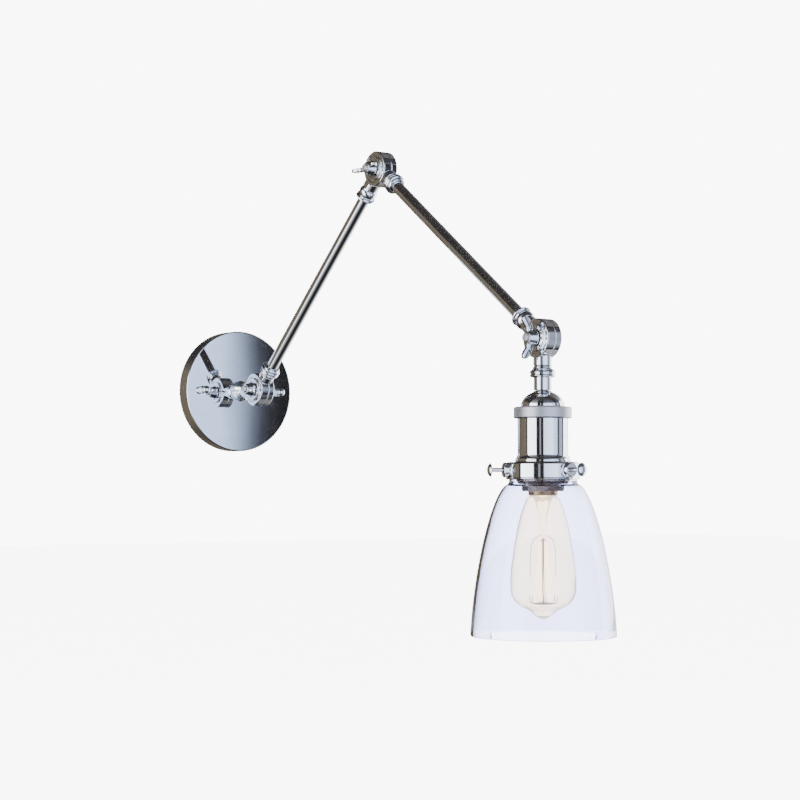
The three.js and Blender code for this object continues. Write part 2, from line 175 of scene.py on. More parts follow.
# how a slab's edge is rounded: (share of the way to its middle, share of half its thickness)
slabEdge = [(0.12, 1), (0.045, 0.92), (0.01, 0.7), (0, 0.35)]


def addSlab(bm, outline, thickness, place):
    # an outline in X and Z, thickened along Y, with a rounded edge all round
    centre = sum((Vector(p) for p in outline), Vector((0, 0))) / len(outline)
    layers = []
    for inset, level in [(inset, -level) for inset, level in slabEdge] + slabEdge[::-1]:
        flat = [p + (centre - p) * inset for p in outline]
        layers.append([bm.verts.new(place @ Vector((p.x, level * thickness / 2, p.y))) for p in flat])
    for first, second in zip(layers, layers[1:]):
        bridge(bm, first, second)
    bm.faces.new(layers[0])
    bm.faces.new(layers[-1])


def addTube(bm, points, radius, place, sides=14, steps=8):
    # a round section carried along a smooth curve through the points, with closed ends
    path = smoothPath(points, steps)
    side = None
    rings = []
    for i, point in enumerate(path):
        ahead = (path[min(i + 1, len(path) - 1)] - path[max(i - 1, 0)]).normalized()
        side = ahead.orthogonal() if side is None else side - ahead * side.dot(ahead)
        side.normalize()
        other = ahead.cross(side)
        turns = [2 * math.pi * k / sides for k in range(sides)]
        rings.append([bm.verts.new(place @ (point + radius * (side * math.cos(a) + other * math.sin(a))))
                      for a in turns])
    for first, second in zip(rings, rings[1:]):
        bridge(bm, first, second)
    bm.faces.new(rings[0])
    bm.faces.new(rings[-1])


def finishPiece(name, bm, material, body, nodes):
    bmesh.ops.remove_doubles(bm, verts=bm.verts, dist=1e-7)
    bmesh.ops.recalc_face_normals(bm, faces=bm.faces)
    mesh = bpy.data.meshes.new(name)
    bm.to_mesh(mesh)
    bm.free()
    mesh.shade_smooth()
    mesh.set_sharp_from_angle(angle=math.radians(sharpAbove))
    piece = bpy.data.objects.new(name, mesh)
    bpy.context.scene.collection.objects.link(piece)
    mesh.materials.append(material)
    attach(piece, body)
    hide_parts(*nodes)


def turnedPiece(name, profile, place, material, body, soft, sides=96):
    bm = bmesh.new()
    addTurned(bm, profile, place, soft, sides)
    finishPiece(name, bm, material, body, [name.replace("fine_", "")])


print("helpers ready")


def newTree(name, inputs):
    tree = bpy.data.node_groups.new(name, "GeometryNodeTree")
    for label, kind, value in inputs:
        socket = tree.interface.new_socket(name=label, in_out="INPUT", socket_type=kind)
        if value is not None:
            socket.default_value = value
    tree.interface.new_socket(name="Geometry", in_out="OUTPUT", socket_type="NodeSocketGeometry")
    return tree, tree.nodes.new("NodeGroupInput"), tree.nodes.new("NodeGroupOutput")


def wire(tree, source, target):
    tree.links.new(source, target)


def math2(tree, operation, first, second=None):
    node = tree.nodes.new("ShaderNodeMath")
    node.operation = operation
    for i, value in enumerate((first, second)):
        if isinstance(value, bpy.types.NodeSocket):
            wire(tree, value, node.inputs[i])
        elif value is not None:
            node.inputs[i].default_value = value
    return node.outputs[0]


def closeTree(tree, geometry, material, output):
    realize = tree.nodes.new("GeometryNodeRealizeInstances")
    paint = tree.nodes.new("GeometryNodeSetMaterial")
    wire(tree, geometry, realize.inputs[0])
    wire(tree, realize.outputs[0], paint.inputs["Geometry"])
    wire(tree, material, paint.inputs["Material"])
    wire(tree, paint.outputs[0], output.inputs[0])


def sweepCurve(tree, curve, radius, around):
    circle = tree.nodes.new("GeometryNodeCurvePrimitiveCircle")
    circle.inputs["Resolution"].default_value = around
    wire(tree, radius, circle.inputs["Radius"])
    sweep = tree.nodes.new("GeometryNodeCurveToMesh")
    sweep.inputs["Fill Caps"].default_value = True
    wire(tree, curve, sweep.inputs["Curve"])
    wire(tree, circle.outputs[0], sweep.inputs["Profile Curve"])
    return sweep.outputs[0]


def threadTree():
    # one rounded ridge wound round a screw
    tree, given, output = newTree("screwThread", [
        ("Turns", "NodeSocketFloat", 5.0), ("Radius", "NodeSocketFloat", 10.0),
        ("Height", "NodeSocketFloat", 15.0), ("Ridge", "NodeSocketFloat", 0.8),
        ("Material", "NodeSocketMaterial", None)])
    spiral = tree.nodes.new("GeometryNodeCurveSpiral")
    spiral.inputs["Resolution"].default_value = 48
    wire(tree, given.outputs["Turns"], spiral.inputs["Rotations"])
    wire(tree, given.outputs["Radius"], spiral.inputs["Start Radius"])
    wire(tree, given.outputs["Radius"], spiral.inputs["End Radius"])
    wire(tree, given.outputs["Height"], spiral.inputs["Height"])
    swept = sweepCurve(tree, spiral.outputs[0], given.outputs["Ridge"], 10)
    closeTree(tree, swept, given.outputs["Material"], output)
    return tree


def ribTree():
    # upright ribs spaced evenly round a moulded cap
    tree, given, output = newTree("ribRing", [
        ("Count", "NodeSocketInt", 12), ("Radius", "NodeSocketFloat", 4.0),
        ("Rib", "NodeSocketFloat", 0.5), ("Length", "NodeSocketFloat", 10.0),
        ("Material", "NodeSocketMaterial", None)])
    circle = tree.nodes.new("GeometryNodeMeshCircle")
    wire(tree, given.outputs["Count"], circle.inputs["Vertices"])
    wire(tree, given.outputs["Radius"], circle.inputs["Radius"])
    rib = tree.nodes.new("GeometryNodeMeshUVSphere")
    rib.inputs["Segments"].default_value = 10
    rib.inputs["Rings"].default_value = 8
    rib.inputs["Radius"].default_value = 1
    size = tree.nodes.new("ShaderNodeCombineXYZ")
    wire(tree, given.outputs["Rib"], size.inputs[0])
    wire(tree, given.outputs["Rib"], size.inputs[1])
    wire(tree, math2(tree, "MULTIPLY", given.outputs["Length"], 0.5), size.inputs[2])
    spread = tree.nodes.new("GeometryNodeInstanceOnPoints")
    wire(tree, circle.outputs[0], spread.inputs["Points"])
    wire(tree, rib.outputs["Mesh"], spread.inputs["Instance"])
    wire(tree, size.outputs[0], spread.inputs["Scale"])
    closeTree(tree, spread.outputs[0], given.outputs["Material"], output)
    return tree


def filamentTree():
    # one thread that runs up and down between the lower and the upper hooks, round the stem
    tree, given, output = newTree("filamentCage", [
        ("Strands", "NodeSocketFloat", 10.0), ("Lower Radius", "NodeSocketFloat", 9.0),
        ("Upper Radius", "NodeSocketFloat", 5.0), ("Lower", "NodeSocketFloat", -220.0),
        ("Upper", "NodeSocketFloat", -170.0), ("Thread", "NodeSocketFloat", 0.3),
        ("Material", "NodeSocketMaterial", None)])
    line = tree.nodes.new("GeometryNodeCurvePrimitiveLine")
    resample = tree.nodes.new("GeometryNodeResampleCurve")
    resample.inputs["Count"].default_value = 241
    wire(tree, line.outputs[0], resample.inputs["Curve"])
    along = tree.nodes.new("GeometryNodeSplineParameter").outputs["Factor"]
    zigzag = math2(tree, "PINGPONG", math2(tree, "MULTIPLY", along, given.outputs["Strands"]), 1.0)
    # the ease keeps the hooks round instead of pointed
    ease = tree.nodes.new("ShaderNodeMapRange")
    ease.interpolation_type = "SMOOTHSTEP"
    wire(tree, zigzag, ease.inputs["Value"])
    turn = math2(tree, "MULTIPLY", along, 2 * math.pi * 0.92)
    values = []
    for low, high in (("Lower Radius", "Upper Radius"), ("Lower", "Upper")):
        mix = tree.nodes.new("ShaderNodeMapRange")
        wire(tree, ease.outputs["Result"], mix.inputs["Value"])
        wire(tree, given.outputs[low], mix.inputs["To Min"])
        wire(tree, given.outputs[high], mix.inputs["To Max"])
        values.append(mix.outputs["Result"])
    spot = tree.nodes.new("ShaderNodeCombineXYZ")
    wire(tree, math2(tree, "MULTIPLY", values[0], math2(tree, "COSINE", turn)), spot.inputs[0])
    wire(tree, math2(tree, "MULTIPLY", values[0], math2(tree, "SINE", turn)), spot.inputs[1])
    wire(tree, values[1], spot.inputs[2])
    move = tree.nodes.new("GeometryNodeSetPosition")
    wire(tree, resample.outputs[0], move.inputs["Geometry"])
    wire(tree, spot.outputs[0], move.inputs["Position"])
    swept = sweepCurve(tree, move.outputs[0], given.outputs["Thread"], 8)
    closeTree(tree, swept, given.outputs["Material"], output)
    return tree


def meshFromTree(tree, values):
    holder = bpy.data.objects.new("holder", bpy.data.meshes.new("holder"))
    bpy.context.scene.collection.objects.link(holder)
    modifier = holder.modifiers.new("shape", "NODES")
    modifier.node_group = tree
    for item in tree.interface.items_tree:
        if item.in_out == "INPUT" and item.name in values:
            modifier[item.identifier] = values[item.name]
    view = bpy.context.evaluated_depsgraph_get()
    mesh = bpy.data.meshes.new_from_object(holder.evaluated_get(view))
    bpy.data.objects.remove(holder)
    mesh.materials.clear()
    return mesh


screwThread, ribRing, filamentCage = threadTree(), ribTree(), filamentTree()
print("geometry node trees ready")


def newShaderGroup(name, inputs, outputs):
    group = bpy.data.node_groups.new(name, "ShaderNodeTree")
    for label, kind, value in inputs:
        group.interface.new_socket(name=label, in_out="INPUT", socket_type=kind).default_value = value
    for label, kind in outputs:
        group.interface.new_socket(name=label, in_out="OUTPUT", socket_type=kind)
    return group, group.nodes.new("NodeGroupInput"), group.nodes.new("NodeGroupOutput")


def noise(tree, scale, detail, vector):
    node = tree.nodes.new("ShaderNodeTexNoise")
    node.inputs["Scale"].default_value = scale
    node.inputs["Detail"].default_value = detail
    wire(tree, vector, node.inputs["Vector"])
    return node.outputs["Fac"]


def between(tree, value, low, high, toLow, toHigh):
    node = tree.nodes.new("ShaderNodeMapRange")
    wire(tree, value, node.inputs["Value"])
    for label, number in (("From Min", low), ("From Max", high), ("To Min", toLow), ("To Max", toHigh)):
        node.inputs[label].default_value = number
    return node.outputs["Result"]


wear = {
    "smudgeScale": 60, "smudgeFrom": 0.46, "smudgeTo": 0.72, "speckScale": 900, "speckFrom": 0.76,
    "speckTo": 0.86,
    "soilShare": 0.22, "waveScale": 45, "waveHeight": 0.8, "speckHeight": 0.05,
}


def handlingGroup():
    # finger smudges, fine hairlines and a slow waviness of the metal under its plating
    group, given, output = newShaderGroup("handling", [
        ("Roughness", "NodeSocketFloat", 0.05), ("Smudge", "NodeSocketFloat", 0.08),
        ("Color", "NodeSocketColor", (0.8, 0.8, 0.8, 1)),
        ("Soil", "NodeSocketColor", (0.6, 0.55, 0.5, 1)),
    ], [("Color", "NodeSocketColor"), ("Roughness", "NodeSocketFloat"), ("Height", "NodeSocketFloat")])
    place = group.nodes.new("ShaderNodeTexCoord").outputs["Object"]
    smudge = between(group, noise(group, wear["smudgeScale"], 4, place),
                     wear["smudgeFrom"], wear["smudgeTo"], 0, 1)
    speck = between(group, noise(group, wear["speckScale"], 2, place),
                    wear["speckFrom"], wear["speckTo"], 0, 1)
    marks = math2(group, "MAXIMUM", smudge, speck)
    added = math2(group, "MULTIPLY", marks, given.outputs["Smudge"])
    rough = math2(group, "ADD", given.outputs["Roughness"], added)
    tint = group.nodes.new("ShaderNodeMix")
    tint.data_type = "RGBA"
    wire(group, math2(group, "MULTIPLY", marks, wear["soilShare"]), tint.inputs["Factor"])
    wire(group, given.outputs["Color"], tint.inputs["A"])
    wire(group, given.outputs["Soil"], tint.inputs["B"])
    wave = math2(group, "MULTIPLY", noise(group, wear["waveScale"], 1, place), wear["waveHeight"])
    height = math2(group, "ADD", wave, math2(group, "MULTIPLY", speck, wear["speckHeight"]))
    wire(group, tint.outputs["Result"], output.inputs["Color"])
    wire(group, rough, output.inputs["Roughness"])
    wire(group, height, output.inputs["Height"])
    return group


def turnedGrainGroup():
    # the fine rings that turning and brushing leave round an upright axis
    group, given, output = newShaderGroup("turnedGrain", [
        ("Centre", "NodeSocketVector", (0, 0, 0)), ("Rings", "NodeSocketFloat", 4000.0),
    ], [("Height", "NodeSocketFloat"), ("Value", "NodeSocketFloat")])
    place = group.nodes.new("ShaderNodeTexCoord").outputs["Object"]
    offset = group.nodes.new("ShaderNodeVectorMath")
    offset.operation = "SUBTRACT"
    wire(group, place, offset.inputs[0])
    wire(group, given.outputs["Centre"], offset.inputs[1])
    parts = group.nodes.new("ShaderNodeSeparateXYZ")
    wire(group, offset.outputs[0], parts.inputs[0])
    across = math2(group, "SQRT", math2(group, "ADD", math2(group, "POWER", parts.outputs[0], 2.0),
                                       math2(group, "POWER", parts.outputs[1], 2.0)))
    rings = math2(group, "MULTIPLY", math2(group, "ADD", across, parts.outputs[2]),
                  given.outputs["Rings"])
    lines = group.nodes.new("ShaderNodeTexNoise")
    lines.noise_dimensions = "1D"
    lines.inputs["Scale"].default_value = 1
    lines.inputs["Detail"].default_value = 3
    wire(group, rings, lines.inputs["W"])
    wire(group, lines.outputs["Fac"], output.inputs["Height"])
    wire(group, between(group, lines.outputs["Fac"], 0.3, 0.7, 0, 1), output.inputs["Value"])
    return group


handling, turnedGrain = handlingGroup(), turnedGrainGroup()


def newMaterial(name):
    material = bpy.data.materials.new(name)
    material.use_nodes = True
    tree = material.node_tree
    return material, tree, tree.nodes["Principled BSDF"]


def addGroup(tree, group, values):
    node = tree.nodes.new("ShaderNodeGroup")
    node.node_tree = group
    for label, value in values.items():
        node.inputs[label].default_value = value
    return node


def addBump(tree, height, strength, distance, shader):
    bump = tree.nodes.new("ShaderNodeBump")
    bump.inputs["Strength"].default_value = strength
    bump.inputs["Distance"].default_value = distance
    wire(tree, height, bump.inputs["Height"])
    wire(tree, bump.outputs[0], shader.inputs["Normal"])


def handledMaterial(name, color, soil, roughness, smudge, metallic, bump=(0.15, 0.0002), coat=0.0):
    material, tree, shader = newMaterial(name)
    marks = addGroup(tree, handling, {"Roughness": roughness, "Smudge": smudge, "Color": (*color, 1),
                                      "Soil": (*soil, 1)})
    wire(tree, marks.outputs["Color"], shader.inputs["Base Color"])
    wire(tree, marks.outputs["Roughness"], shader.inputs["Roughness"])
    addBump(tree, marks.outputs["Height"], *bump, shader)
    shader.inputs["Metallic"].default_value = metallic
    shader.inputs["Coat Weight"].default_value = coat
    return material


satinLook = {"rings": 3500, "smooth": 0.36, "rough": 0.5, "dark": (0.34, 0.35, 0.39),
             "light": (0.46, 0.47, 0.52),
             "bump": (0.25, 0.0001)}


def satinMaterial():
    material, tree, shader = newMaterial("satinNickel")
    lines = addGroup(tree, turnedGrain, {"Centre": tuple(headPoint), "Rings": satinLook["rings"]})
    shade = between(tree, lines.outputs["Value"], 0, 1, satinLook["smooth"], satinLook["rough"])
    tone = tree.nodes.new("ShaderNodeMix")
    tone.data_type = "RGBA"
    wire(tree, lines.outputs["Value"], tone.inputs["Factor"])
    tone.inputs["A"].default_value = (*satinLook["dark"], 1)
    tone.inputs["B"].default_value = (*satinLook["light"], 1)
    wire(tree, tone.outputs["Result"], shader.inputs["Base Color"])
    wire(tree, shade, shader.inputs["Roughness"])
    addBump(tree, lines.outputs["Height"], *satinLook["bump"], shader)
    shader.inputs["Metallic"].default_value = 1
    return material


glassLook = {"ior": 1.47, "waveScale": 30, "waveDepth": 0.0002, "paintedGlow": (1.0, 0.90, 0.72)}


def glassMaterial(name, color, wave, paintedGlow=0.0):
    material, tree, shader = newMaterial(name)
    place = tree.nodes.new("ShaderNodeTexCoord").outputs["Object"]
    addBump(tree, noise(tree, glassLook["waveScale"], 1, place), wave, glassLook["waveDepth"], shader)
    shader.inputs["Base Color"].default_value = (*color, 1)
    shader.inputs["Roughness"].default_value = 0
    shader.inputs["Transmission Weight"].default_value = 1
    shader.inputs["IOR"].default_value = glassLook["ior"]
    # the emission paints a warm glow on the glass itself, standing in for the filament's light scattered
    # in it
    shader.inputs["Emission Color"].default_value = (*glassLook["paintedGlow"], 1)
    shader.inputs["Emission Strength"].default_value = paintedGlow
    return material


glowLook = {"scale": 400, "orange": (1.0, 0.62, 0.04), "yellow": (1.0, 0.78, 0.12), "strength": 7}


def glowMaterial():
    material, tree, shader = newMaterial("glowingFilament")
    place = tree.nodes.new("ShaderNodeTexCoord").outputs["Object"]
    heat = tree.nodes.new("ShaderNodeMix")
    heat.data_type = "RGBA"
    wire(tree, noise(tree, glowLook["scale"], 2, place), heat.inputs["Factor"])
    heat.inputs["A"].default_value = (*glowLook["orange"], 1)
    heat.inputs["B"].default_value = (*glowLook["yellow"], 1)
    wire(tree, heat.outputs["Result"], shader.inputs["Emission Color"])
    shader.inputs["Emission Strength"].default_value = glowLook["strength"]
    return material


# a soiled patch is duller by smudge and takes the soil colour; bump is (strength, metres)
finishes = {
    "polishedChrome": {"color": (0.80, 0.82, 0.86), "soil": (0.58, 0.55, 0.52), "roughness": 0.035,
                       "smudge": 0.045, "metallic": 1, "bump": (0.035, 0.0002)},
    "zincPlate": {"color": (0.62, 0.63, 0.65), "soil": (0.4, 0.38, 0.35), "roughness": 0.36,
                  "smudge": 0.2, "metallic": 1, "bump": (0.3, 0.0004)},
    "spunBrass": {"color": (0.72, 0.52, 0.25), "soil": (0.4, 0.25, 0.12), "roughness": 0.22,
                  "smudge": 0.2, "metallic": 1, "bump": (0.15, 0.0003)},
    "dullNickel": {"color": (0.48, 0.37, 0.27), "soil": (0.30, 0.22, 0.16), "roughness": 0.24,
                   "smudge": 0.16, "metallic": 1, "bump": (0.15, 0.0003)},
    "glazedPorcelain": {"color": (0.88, 0.86, 0.81), "soil": (0.62, 0.57, 0.5), "roughness": 0.16,
                        "smudge": 0.12, "metallic": 0, "bump": (0.1, 0.0003), "coat": 0.6},
    "vulcanFibre": {"color": (0.13, 0.07, 0.05), "soil": (0.06, 0.04, 0.03), "roughness": 0.7,
                    "smudge": 0.2, "metallic": 0, "bump": (0.5, 0.0005)},
    "blackGlass": {"color": (0.02, 0.018, 0.022), "soil": (0.05, 0.05, 0.05), "roughness": 0.08,
                   "smudge": 0.1, "metallic": 0, "bump": (0.1, 0.0003), "coat": 0.5},
    "brownInsulation": {"color": (0.13, 0.05, 0.02), "soil": (0.2, 0.15, 0.1), "roughness": 0.42,
                        "smudge": 0.2, "metallic": 0, "bump": (0.3, 0.0003)},
    "blueInsulation": {"color": (0.03, 0.09, 0.30), "soil": (0.2, 0.2, 0.2), "roughness": 0.42,
                       "smudge": 0.2, "metallic": 0, "bump": (0.3, 0.0003)},
    "whiteInsulation": {"color": (0.72, 0.70, 0.66), "soil": (0.4, 0.36, 0.3), "roughness": 0.45,
                        "smudge": 0.2, "metallic": 0, "bump": (0.3, 0.0003)},
    "mouldedCap": {"color": (0.80, 0.42, 0.05), "soil": (0.4, 0.22, 0.08), "roughness": 0.34,
                   "smudge": 0.2, "metallic": 0, "bump": (0.3, 0.0003)},
    "darkWire": {"color": (0.20, 0.10, 0.05), "soil": (0.1, 0.06, 0.04), "roughness": 0.4,
                 "smudge": 0.2, "metallic": 0.8},
}
(chrome, zinc, brass, nickel, porcelain, fibre, blackGlass,
 brownLead, blueLead, whiteLead, wireCap, supportWire) = [
    handledMaterial(name, **look) for name, look in finishes.items()]
satin, glow = satinMaterial(), glowMaterial()
shadeGlass = glassMaterial("clearShadeGlass", (0.70, 0.72, 0.92), 0.06)
# the bulb glass also carries a weak painted glow, so that its middle reads brighter than the background
bulbGlass = glassMaterial("faintAmberGlass", (1.0, 0.90, 0.70), 0.04, 0.42)
print("materials ready")

plate = {"radius": 64, "depth": 17.2, "sheet": 1.4, "corner": 1.6, "hole": 5.4, "fillet": 0.4}


def buildWallPlate():
    r, front, sheet, edge = plate["radius"], plate["depth"], plate["sheet"], plate["corner"]
    turnedPiece("fine_wall_plate", [
        (r - sheet, 0), (r, 0), *arc((r - edge, front - edge), (edge, edge), 0, 90, 8),
        (plate["hole"], front), (plate["hole"], front - sheet), (r - edge, front - sheet),
        (r - sheet, front - edge - plate["fillet"]),
    ], wallPlace, chrome, "wall_mount", 0.25, 192)


capNut = {"seat": 17.5, "ball": 4.2, "ballAt": 25.8,
          "foot": [(4.6, 0), (4.6, 1), (2.9, 1.6), (2.9, 2.7), (3.6, 3.1), (3.6, 3.9), (2.8, 4.3)]}


def buildCapNut(name):
    low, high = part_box(name)
    centre = (Vector(low) + Vector(high)) / 2
    place = placed((centre.x, 0, centre.z), (0, -1, 0))
    seat, ball, ballAt = capNut["seat"], capNut["ball"], capNut["ballAt"]
    turnedPiece("fine_" + name, [
        (0, seat), *raised(capNut["foot"], seat), *arc((0, ballAt), (ball, ball), -50, 88, 12),
        (0, ballAt + ball),
    ], place, chrome, "wall_mount", 0.2, 48)


buildWallPlate()
for name in ("cap_nut_left", "cap_nut_right"):
    buildCapNut(name)
print("wall plate ready")

# seams, face and rises run along the hinge axis; the rest are radii or go outward from it
knuckle = {"radius": 17, "face": 7.9, "seam": 1, "seamGap": 0.4, "bore": 3.3, "neck": 7.85, "room": 17.6,
           "grooveOut": 13.6, "grooveIn": 11.9, "bossOut": 11.5, "bossIn": 8.6, "bossRise": 1.4,
           "edge": 0.8, "slope": 0.4, "hubRise": 0.7, "sink": 0.6, "hubSink": 0.4, "neckFrom": 18.5,
           "armEnd": 23, "headEnd": 23.5, "endEdge": (0.5, 0.4)}


def addDrum(bm, side, place):
    k = knuckle
    seam, face = k["seam"] + side * k["seamGap"] / 2, side * k["face"]
    sunk, boss, hub = face - side * k["edge"], face + side * k["bossRise"], face + side * k["hubRise"]
    steps = [(k["bore"], seam), (k["radius"], seam), (k["radius"], sunk),
             (k["radius"] - k["edge"], face), (k["grooveOut"], face), (k["grooveOut"] - k["slope"], sunk),
             (k["grooveIn"], sunk), (k["bossOut"], boss), (k["bossIn"], boss),
             (k["bossIn"] - k["slope"], hub), (k["bore"], hub)]
    addTurned(bm, steps, place @ zToX, 0.45, 128)


def addNeck(bm, side, profile, place, sides=96):
    # the neck starts on a saddle: inside its own half drum, and clear of the half that turns past it
    k = knuckle
    seam = k["seam"] + side * k["seamGap"] / 2
    start = []
    for i in range(sides):
        angle = 2 * math.pi * i / sides
        x, y = k["neck"] * math.cos(angle), k["neck"] * math.sin(angle)
        own = (x - seam) * side > 0
        reach = k["radius"] - k["sink"] if own else k["room"]
        start.append(bm.verts.new(place @ Vector((x, y, math.sqrt(reach ** 2 - y ** 2)))))
    hub = bm.verts.new(place @ Vector((0, 0, k["room"] - k["hubSink"])))
    bridge(bm, [hub], start)
    previous = start
    for r, h in softened(profile, 0.4, False):
        ring = addRing(bm, r, h, place, sides)
        bridge(bm, previous, ring)
        previous = ring


def buildHalf(node, side, profile, place, body):
    bm = bmesh.new()
    addDrum(bm, side, place)
    addNeck(bm, side, profile, place)
    finishPiece("fine_" + node, bm, chrome, body, [node])


stem = {"end": 40, "neck": 12,
        "foot": [(6.6, -9.4), (6.6, -7), (8.4, -6), (8.4, -4.6), (7.4, -4), (11, -2.2), (11, 0)]}


def stemProfile():
    end, neck = stem["end"], knuckle["neck"]
    return [(neck, knuckle["neckFrom"]), (neck, end - stem["neck"]), *raised(stem["foot"], end),
            (0, end)]


def plainNeck(end):
    neck, (inward, back) = knuckle["neck"], knuckle["endEdge"]
    return [(neck, knuckle["neckFrom"]), (neck, end - back), (neck - inward, end), (0, end)]


farEnd = Matrix.Translation((0, 0, armLength)) @ upsideDown
buildHalf("wall_knuckle", -1, stemProfile(), stemPlace, "wall_mount")
buildHalf("lower_arm_knuckle_wall", 1, plainNeck(knuckle["armEnd"]), lowerPlace, "lower_arm")
buildHalf("lower_arm_knuckle_elbow", -1, plainNeck(knuckle["armEnd"]), lowerPlace @ farEnd, "lower_arm")
buildHalf("outer_arm_knuckle_elbow", 1, plainNeck(knuckle["armEnd"]), outerPlace, "outer_arm")
buildHalf("outer_arm_knuckle_head", 1, plainNeck(knuckle["armEnd"]), outerPlace @ farEnd, "outer_arm")
buildHalf("head_knuckle", -1, plainNeck(knuckle["headEnd"]), headPlace @ upsideDown, "lamp_head")

clamp = {
    "bolt": 3, "tip": -20.3, "tipRadius": 2.6, "tipEdge": 0.4, "head": 6.8, "headRise": 2.6,
    "headEdge": 1, "standOff": 1, "threadFrom": 0.6, "thread": {"Turns": 8.0, "Height": 8.0, "Ridge": 0.3},
    "threadSunk": 0.1,
}
wingNut = {
    "seat": -9.6, "sheet": 3.2, "turns": {"wall": -84, "elbow": 85.6, "head": 0},
    "hub": [(3.3, -8.2), (5, -8.2), (5.6, -7.4), (7.2, -1), (7.2, 0), (3.3, 0)],
    "wing": [(-1.6, 4.5), (-2.2, 8.6), (-3.6, 12.6), (-6, 16.2), (-8.6, 18.1), (-11.2, 18.3),
             (-12.6, 16.8), (-12.6, 14.4), (-11, 11.4), (-8.8, 8.4), (-7.6, 4.5)],
}


def buildClamp(prefix, point, body, nutBody, turn):
    place = placed(point, (0, 0, 1))
    bolt, tip, head = clamp["bolt"], clamp["tip"], clamp["head"]
    headAt = knuckle["face"] + clamp["standOff"]
    crownAt = headAt + clamp["headEdge"]
    bm = bmesh.new()
    addTurned(bm, [(0, tip), (clamp["tipRadius"], tip), (bolt, tip + clamp["tipEdge"]), (bolt, headAt),
                   (head, headAt), (head, crownAt),
                   *arc((0, crownAt), (head, clamp["headRise"]), 12, 88, 8),
                   (0, crownAt + clamp["headRise"])], place @ zToX, 0.25, 48)
    thread = meshFromTree(screwThread, {**clamp["thread"], "Radius": bolt - clamp["threadSunk"],
                                        "Material": zinc})
    addMesh(bm, thread, place @ zToX @ Matrix.Translation((0, 0, tip + clamp["threadFrom"])))
    finishPiece(f"fine_{prefix}_clamp_bolt", bm, zinc, body, [f"{prefix}_clamp_bolt"])

    seat, sheet = wingNut["seat"], wingNut["sheet"]
    nutPlace = place @ Matrix.Rotation(math.radians(turn), 4, "X")
    bm = bmesh.new()
    addTurned(bm, raised(wingNut["hub"], seat), nutPlace @ zToX, 0.5, 64)
    wing = smoothLoop([(seat + across, out) for across, out in wingNut["wing"]])
    addSlab(bm, wing, sheet, nutPlace)
    addSlab(bm, wing, sheet, nutPlace @ upsideDown)
    finishPiece(f"fine_{prefix}_wing_nut", bm, chrome, nutBody, [f"{prefix}_wing_nut"])


for prefix, point, body in (("wall", wallPoint, "wall_mount"), ("elbow", elbowPoint, "lower_arm"),
                            ("head", headPoint, "lamp_head")):
    buildClamp(prefix, point, body, prefix + "_nut", wingNut["turns"][prefix])
print("knuckles ready")

arm = {
    "tube": 5.75, "inner": 4.75, "start": 24, "ferruleAt": 23.3, "hole": 6.05,
    "ring": [(7, 0), (7.4, 1.6), (9.4, 2.2), (9.8, 3.2), (9.2, 4.2), (8.6, 4.6), (9.8, 5.4), (10.1, 6.6),
             (9.4, 7.8), (8.2, 8.2), (8.4, 9.2), (7.6, 10.4)],
    "bulge": [(6.8, 0), *arc((5.6, 5.4), (3.2, 4.6), -60, 50, 10), (7.6, 10), (9.4, 10.8), (9.6, 12),
              (8.6, 12.8)],
}


def bored(outside):
    return [(arm["hole"], outside[0][1]), *outside, (arm["hole"], outside[-1][1])]


def buildArm(prefix, place, ends):
    turnedPiece(f"fine_{prefix}_tube", [
        (arm["inner"], arm["start"]), (arm["tube"], arm["start"]),
        (arm["tube"], armLength - arm["start"]), (arm["inner"], armLength - arm["start"]),
    ], place, chrome, prefix, 0.2)
    for end, profile, start in zip(ends, (arm["ring"], arm["bulge"]), (place, place @ farEnd)):
        seat = start @ Matrix.Translation((0, 0, arm["ferruleAt"]))
        turnedPiece(f"fine_{prefix}_ferrule_{end}", bored(profile), seat, chrome, prefix, 0.5)


buildArm("lower_arm", lowerPlace, ("wall", "elbow"))
buildArm("outer_arm", outerPlace, ("elbow", "head"))
print("arms ready")

# heights are below the head's hinge axis
headSizes = {
    "collarTop": -27.5, "collarBottom": -33.5, "domeTop": -44.6, "capTop": -58.4, "barrelTop": -68.2,
    "barrelBottom": -97, "galleryTop": -105.6, "galleryBottom": -120.4, "domeRadius": 18.7,
    "capRadius": 24.8, "barrelRadius": 21.5, "flareRadius": 23.6, "galleryRadius": 31.1,
    "gallerySheet": 1.3, "thumbHeight": -112.4, "gap": 0.3, "collarBore": 4, "collarSpigot": 7.65,
    "domeSheet": 1.4, "domeLip": 1.7, "domeHole": 7.4, "capInner": 16, "barrelWall": 1.2,
    "galleryHole": 19.5, "capEdge": 0.6, "capSlope": (0.9, 1.2),
    "flareLip": 1.5, "flareOut": 1.4, "flareDrop": 0.6,
    "flareRise": 6, "galleryEdge": 1.6, "galleryFoot": [(0, 0), (0.5, 0.8), (0, 1.7)],
    "collarBeads": [(10.2, 0.3), (11.2, 1.4), (10.4, 2.6), (10, 3), (11.2, 4)],
    "collarCrown": [(10.6, -0.4), (8.4, 1.2), (7.85, 3.7), (4, 3.7)],
    "boss": [(2.1, -0.9), (6.4, -0.9), (6.4, 3.2), (5.8, 3.8), (2.1, 3.8)],
}


